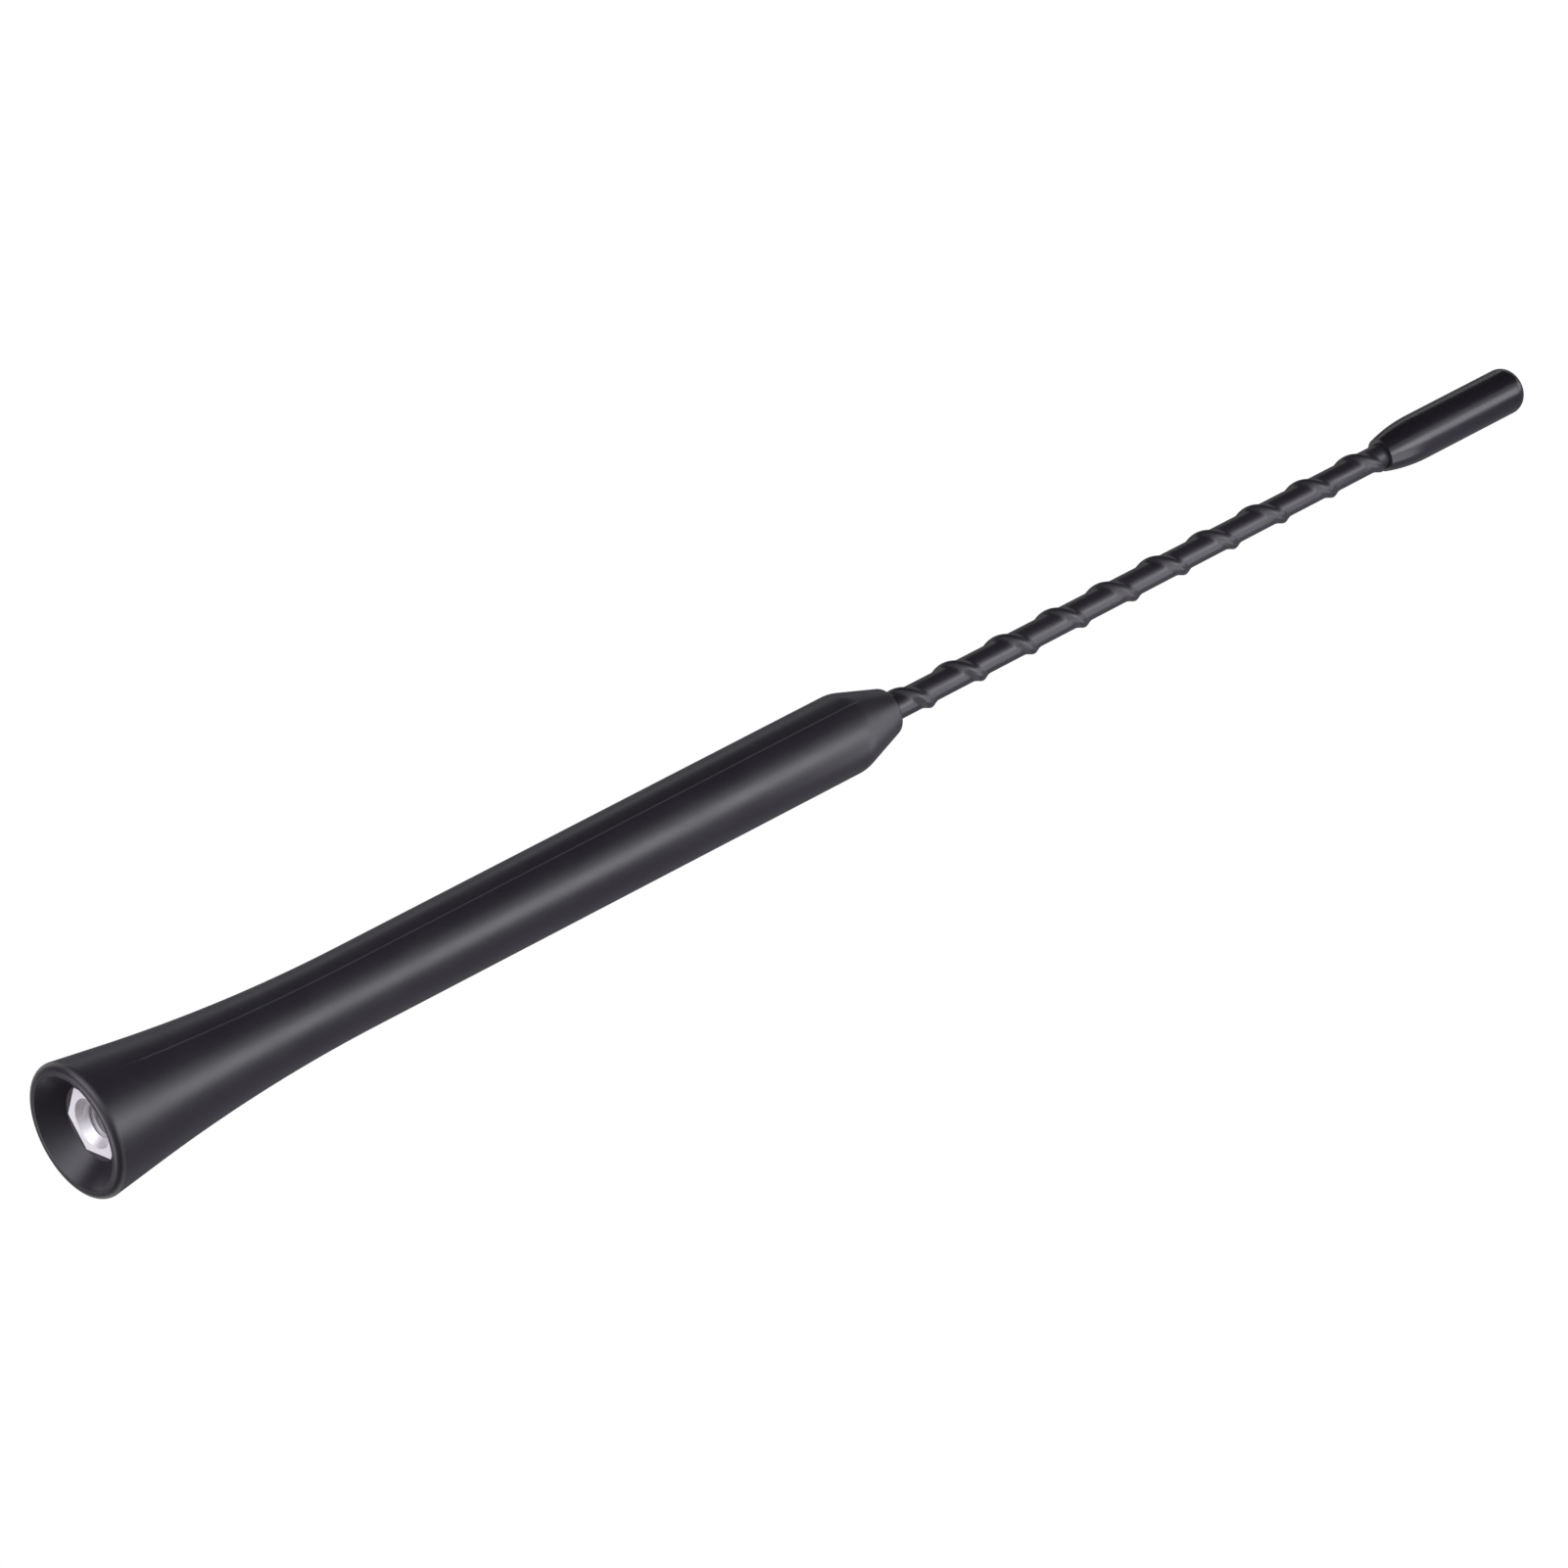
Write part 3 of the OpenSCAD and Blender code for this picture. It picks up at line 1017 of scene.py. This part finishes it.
@dataclass(frozen=True)
class Card:
    """One curved felt card round the mast, which shows in reflections only.

    Its outline holds radii and heights in metres. Its angles run round the mast, from the camera's side
    towards +X.
    """

    name: str
    outline: tuple[Point, ...]
    first_deg: float
    last_deg: float
    shade: str
    steps: int = 24

    def stand(self) -> None:
        """Stands the card in its place."""
        card = draw_outline(self.name, [(r / MM, z / MM) for r, z in self.outline])
        bpy.ops.mesh.spin(
            steps=self.steps,
            angle=math.radians(self.last_deg - self.first_deg),
            center=(0.0, 0.0, 0.0),
            axis=(0.0, 0.0, -1.0),
        )
        bpy.ops.object.mode_set(mode="OBJECT")
        # The outline is drawn on the +X side, a quarter turn on from the camera's
        card.data.transform(Matrix.Rotation(math.radians(self.first_deg - 90.0), 4, "Z"))
        material, tree = new_material(self.name + "_felt")
        felt = add_node(tree, "ShaderNodeBsdfDiffuse", {"Color": linear(self.shade)})
        add_node(tree, "ShaderNodeOutputMaterial", {"Surface": felt.outputs["BSDF"]})
        card.data.materials.append(material)
        card.visible_camera = card.visible_diffuse = card.visible_shadow = False
        card.visible_transmission = False


# Three boxes, one above the other, draw the long highlight down the grip. The strip light draws the whip's,
# and the last two light the funnel of the mouth and the plated socket
SOFTBOXES = (
    Softbox("key_softbox_low", around_deg=24.0, height_deg=-15.0, radiance=1.9, size_m=(0.46, 0.7)),
    Softbox("key_softbox", around_deg=24.0, height_deg=26.0, radiance=4.6, size_m=(0.46, 0.85)),
    Softbox("key_softbox_high", around_deg=24.0, height_deg=66.0, radiance=1.5, size_m=(0.46, 0.8)),
    Softbox(
        "whip_striplight",
        around_deg=62.0,
        height_deg=0.0,
        radiance=2.4,
        size_m=(0.044, 0.11),
        distance_m=0.06,
        aim_mm=230.0,
    ),
    Softbox(
        "mouth_softbox",
        around_deg=-62.0,
        height_deg=-38.0,
        radiance=3.0,
        size_m=(0.3, 0.17),
        distance_m=0.3,
        tint=(0.88, 0.86, 1.0),
        aim_mm=0.0,
    ),
    Softbox(
        "socket_softbox",
        around_deg=180.0,
        height_deg=-60.0,
        radiance=3.5,
        size_m=(0.15, 0.13),
        distance_m=0.2,
        tint=(0.97, 0.93, 1.0),
        aim_mm=0.0,
    ),
)

# The grey cards stand clear of the floor and lean in at their top
GREY_CARD_OUTLINE = ((0.9, 0.35), (0.9, 1.3), (0.35, 2.1))
# The cards give the black pieces a dark side and a grey one. The last darkens what the mouth reflects
CARDS = (
    Card(
        "side_card",
        outline=((0.9, 0.05), (0.9, 1.3), (0.35, 2.1)),
        first_deg=-108.0,
        last_deg=-12.0,
        shade="#151419",
    ),
    Card("back_card", outline=GREY_CARD_OUTLINE, first_deg=145.0, last_deg=238.0, shade="#8c8a94"),
    Card("far_card", outline=GREY_CARD_OUTLINE, first_deg=46.0, last_deg=145.0, shade="#a5a2ae"),
    Card(
        "mouth_card",
        outline=((0.15, -0.03), (0.15, -0.28)),
        first_deg=5.0,
        last_deg=265.0,
        shade="#101011",
    ),
)


@dataclass
class Studio:
    """The pale floor, the white surroundings, the soft lamps and the cards."""

    floor_half_m: float = 3.0
    # The floor lies just under the rim, so that the two never share a plane
    floor_drop_mm: float = 0.05
    floor_shade: str = "#e9e9ea"
    # Brightness of the surroundings as a light, where white is 1
    ambient: float = 0.55

    def floor(self) -> None:
        """Lays the floor. It is seen from above only, so that the camera can look up past it."""
        deselect_all()
        bpy.ops.mesh.primitive_plane_add(
            size=2 * self.floor_half_m, location=(0.0, 0.0, -self.floor_drop_mm * MM)
        )
        bpy.ops.object.transform_apply(location=True, rotation=True, scale=True)
        floor = bpy.context.object
        floor.name = "studio_floor"
        material, tree = new_material("pale_floor")
        paper = add_node(tree, "ShaderNodeBsdfDiffuse", {"Color": linear(self.floor_shade)})
        clear = add_node(tree, "ShaderNodeBsdfTransparent")
        under = add_node(tree, "ShaderNodeNewGeometry").outputs["Backfacing"]
        shown = add_node(
            tree, "ShaderNodeMixShader", {0: under, 1: paper.outputs["BSDF"], 2: clear.outputs["BSDF"]}
        )
        add_node(tree, "ShaderNodeOutputMaterial", {"Surface": shown.outputs["Shader"]})
        floor.data.materials.append(material)
        floor.visible_diffuse = floor.visible_glossy = floor.visible_shadow = False

    def surroundings(self) -> None:
        """Makes the world: white to the eye and in reflections, softer as a light."""
        world = bpy.data.worlds.new("white_surroundings")
        bpy.context.scene.world = world
        world.use_nodes = True
        tree = world.node_tree
        tree.nodes.clear()
        path = add_node(tree, "ShaderNodeLightPath").outputs
        seen = path["Is Camera Ray"]
        for kind in ("Is Glossy Ray", "Is Transmission Ray"):
            seen = add_node(
                tree, "ShaderNodeMath", {0: seen, 1: path[kind]}, operation="MAXIMUM"
            ).outputs[0]
        strength = add_node(
            tree, "ShaderNodeMapRange", {"Value": seen, "To Min": self.ambient, "To Max": 1.0}
        ).outputs["Result"]
        white = add_node(
            tree, "ShaderNodeBackground", {"Color": (1.0, 1.0, 1.0, 1.0), "Strength": strength}
        )
        add_node(tree, "ShaderNodeOutputWorld", {"Surface": white.outputs["Background"]})

    def build(self) -> None:
        """Sets up the studio."""
        self.floor()
        self.surroundings()
        for softbox in SOFTBOXES:
            softbox.hang()
        for card in CARDS:
            card.stand()


@dataclass
class PhotoCamera:
    """The camera of the photograph, turned so that the mast runs up to the right.

    It looks along +Y and rises by up_slope. The roll, as a cosine and a sine, gives the mast its slant.
    """

    picture_px: int = 1601
    focal_px: float = 10300.0
    sensor_mm: float = 36.0
    place_mm: tuple[float, float, float] = (2.47, -1220.6, -660.3)
    up_slope: float = 0.647
    roll_cos: float = 0.88712
    roll_sin: float = 0.46154
    sight_m: float = 20.0

    def build(self) -> None:
        """Makes the camera and sets it as the scene's own."""
        forward = unit(Vector((0.0, 1.0, self.up_slope)))
        across = Vector((1.0, 0.0, 0.0))
        along = across.cross(forward)
        right = along * self.roll_cos + across * self.roll_sin
        up = along * self.roll_sin - across * self.roll_cos
        data = bpy.data.cameras.new("photo_camera")
        data.sensor_fit = "HORIZONTAL"
        data.sensor_width = self.sensor_mm
        data.lens = self.focal_px / self.picture_px * self.sensor_mm
        data.clip_end = self.sight_m
        camera = bpy.data.objects.new("photo_camera", data)
        bpy.context.scene.collection.objects.link(camera)
        turn = Matrix((right, up, -forward)).transposed()
        camera.matrix_world = Matrix.Translation(Vector(self.place_mm) * MM) @ turn.to_4x4()
        bpy.context.scene.camera = camera


def dress_inner_pieces(nodes: dict[str, bpy.types.Object]) -> None:
    """Gives the rod, the wire and the sleeve inside the mast their finishes.

    Args:
        nodes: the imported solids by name.
    """
    for name, finish in INNER_FINISHES.items():
        node = nodes[name]
        node.data.materials.clear()
        node.data.materials.append(finish.build())
        LOG.info("%s: dressed as %s", name, finish.name)


def main() -> None:
    """Builds the mast's pieces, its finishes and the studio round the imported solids."""
    logging.basicConfig(level=logging.INFO, format="%(name)s: %(message)s")
    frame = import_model()
    bpy.context.scene.view_settings.view_transform = "Standard"

    PhotoCamera().build()
    grip_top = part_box("grip")[1].z / MM
    cap_low, cap_high = (corner.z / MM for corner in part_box("tip_cap"))
    jacket_low, jacket_high = (corner.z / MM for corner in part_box("whip_jacket"))
    ridge = Ridge(grip_top=grip_top, cap_foot=cap_low)

    Grip(length=grip_top, ridge=ridge).build(GRIP_RUBBER.build())
    Socket().build(frame["nodes"]["thread_socket"], TurnedNickel().build())
    Whip(foot=jacket_low, top=jacket_high, ridge=ridge).build(JACKET_PLASTIC.build())
    Cap(foot=cap_low, top=cap_high, ridge=ridge).build(CAP_PLASTIC.build())
    dress_inner_pieces(frame["nodes"])

    Studio().build()


if __name__ == "__main__":
    main()
